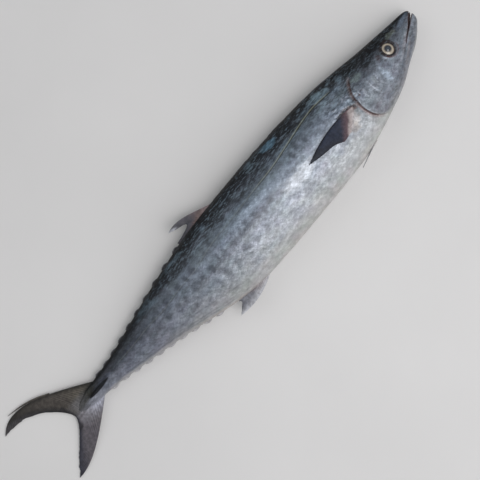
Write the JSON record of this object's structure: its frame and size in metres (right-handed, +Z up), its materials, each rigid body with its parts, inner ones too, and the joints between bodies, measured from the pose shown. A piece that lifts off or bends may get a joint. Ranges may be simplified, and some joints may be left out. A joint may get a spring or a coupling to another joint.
{
  "type": "whole kingfish",
  "caption": "Whole long slender fish with a forked tail and rows of finlets, lying limp on its left flank.",
  "frame": {"origin": "centre of the whole fish's bounding box, at the surface it lies on", "axes": "+X towards the head, +Y towards the back, +Z up, out of the right flank"},
  "size_m": [0.861, 0.1722, 0.0767],
  "materials": {
    "skin": "wet silver skin: olive-black back, blue-green mottled upper flank, grey-silver flank with faint smudged bars, cream-white belly",
    "dark_fin": "blue-black fin membrane over pale rays, reddish at the root of the pectoral",
    "tail_fin": "olive-grey to lilac-grey fan of fine rays with a dark rear edge",
    "pale_fin": "thin translucent fin, pinkish cream at the root and grey at the edge",
    "eye": "clear glossy eye, cream iris ring round a blue-grey pupil"
  },
  "bodies": {
    "root": {"body": "skin", "eye_right": "eye", "eye_left": "eye", "first_dorsal_fin": "dark_fin", "second_dorsal_fin": "pale_fin", "anal_fin": "pale_fin", "pectoral_fin_right": "dark_fin", "pectoral_fin_left": "dark_fin", "pelvic_fin_right": "pale_fin", "pelvic_fin_left": "pale_fin", "caudal_fin": "tail_fin", "dorsal_finlet_01": "dark_fin", "anal_finlet_01": "pale_fin", "dorsal_finlet_02": "dark_fin", "anal_finlet_02": "pale_fin", "dorsal_finlet_03": "dark_fin", "anal_finlet_03": "pale_fin", "dorsal_finlet_04": "dark_fin", "anal_finlet_04": "pale_fin", "dorsal_finlet_05": "dark_fin", "anal_finlet_05": "pale_fin", "dorsal_finlet_06": "dark_fin", "anal_finlet_06": "pale_fin", "dorsal_finlet_07": "dark_fin", "anal_finlet_07": "pale_fin", "dorsal_finlet_08": "dark_fin", "anal_finlet_08": "pale_fin", "dorsal_finlet_09": "dark_fin", "anal_finlet_09": "pale_fin", "dorsal_finlet_10": "dark_fin", "anal_finlet_10": "pale_fin"}
  },
  "joints": []
}
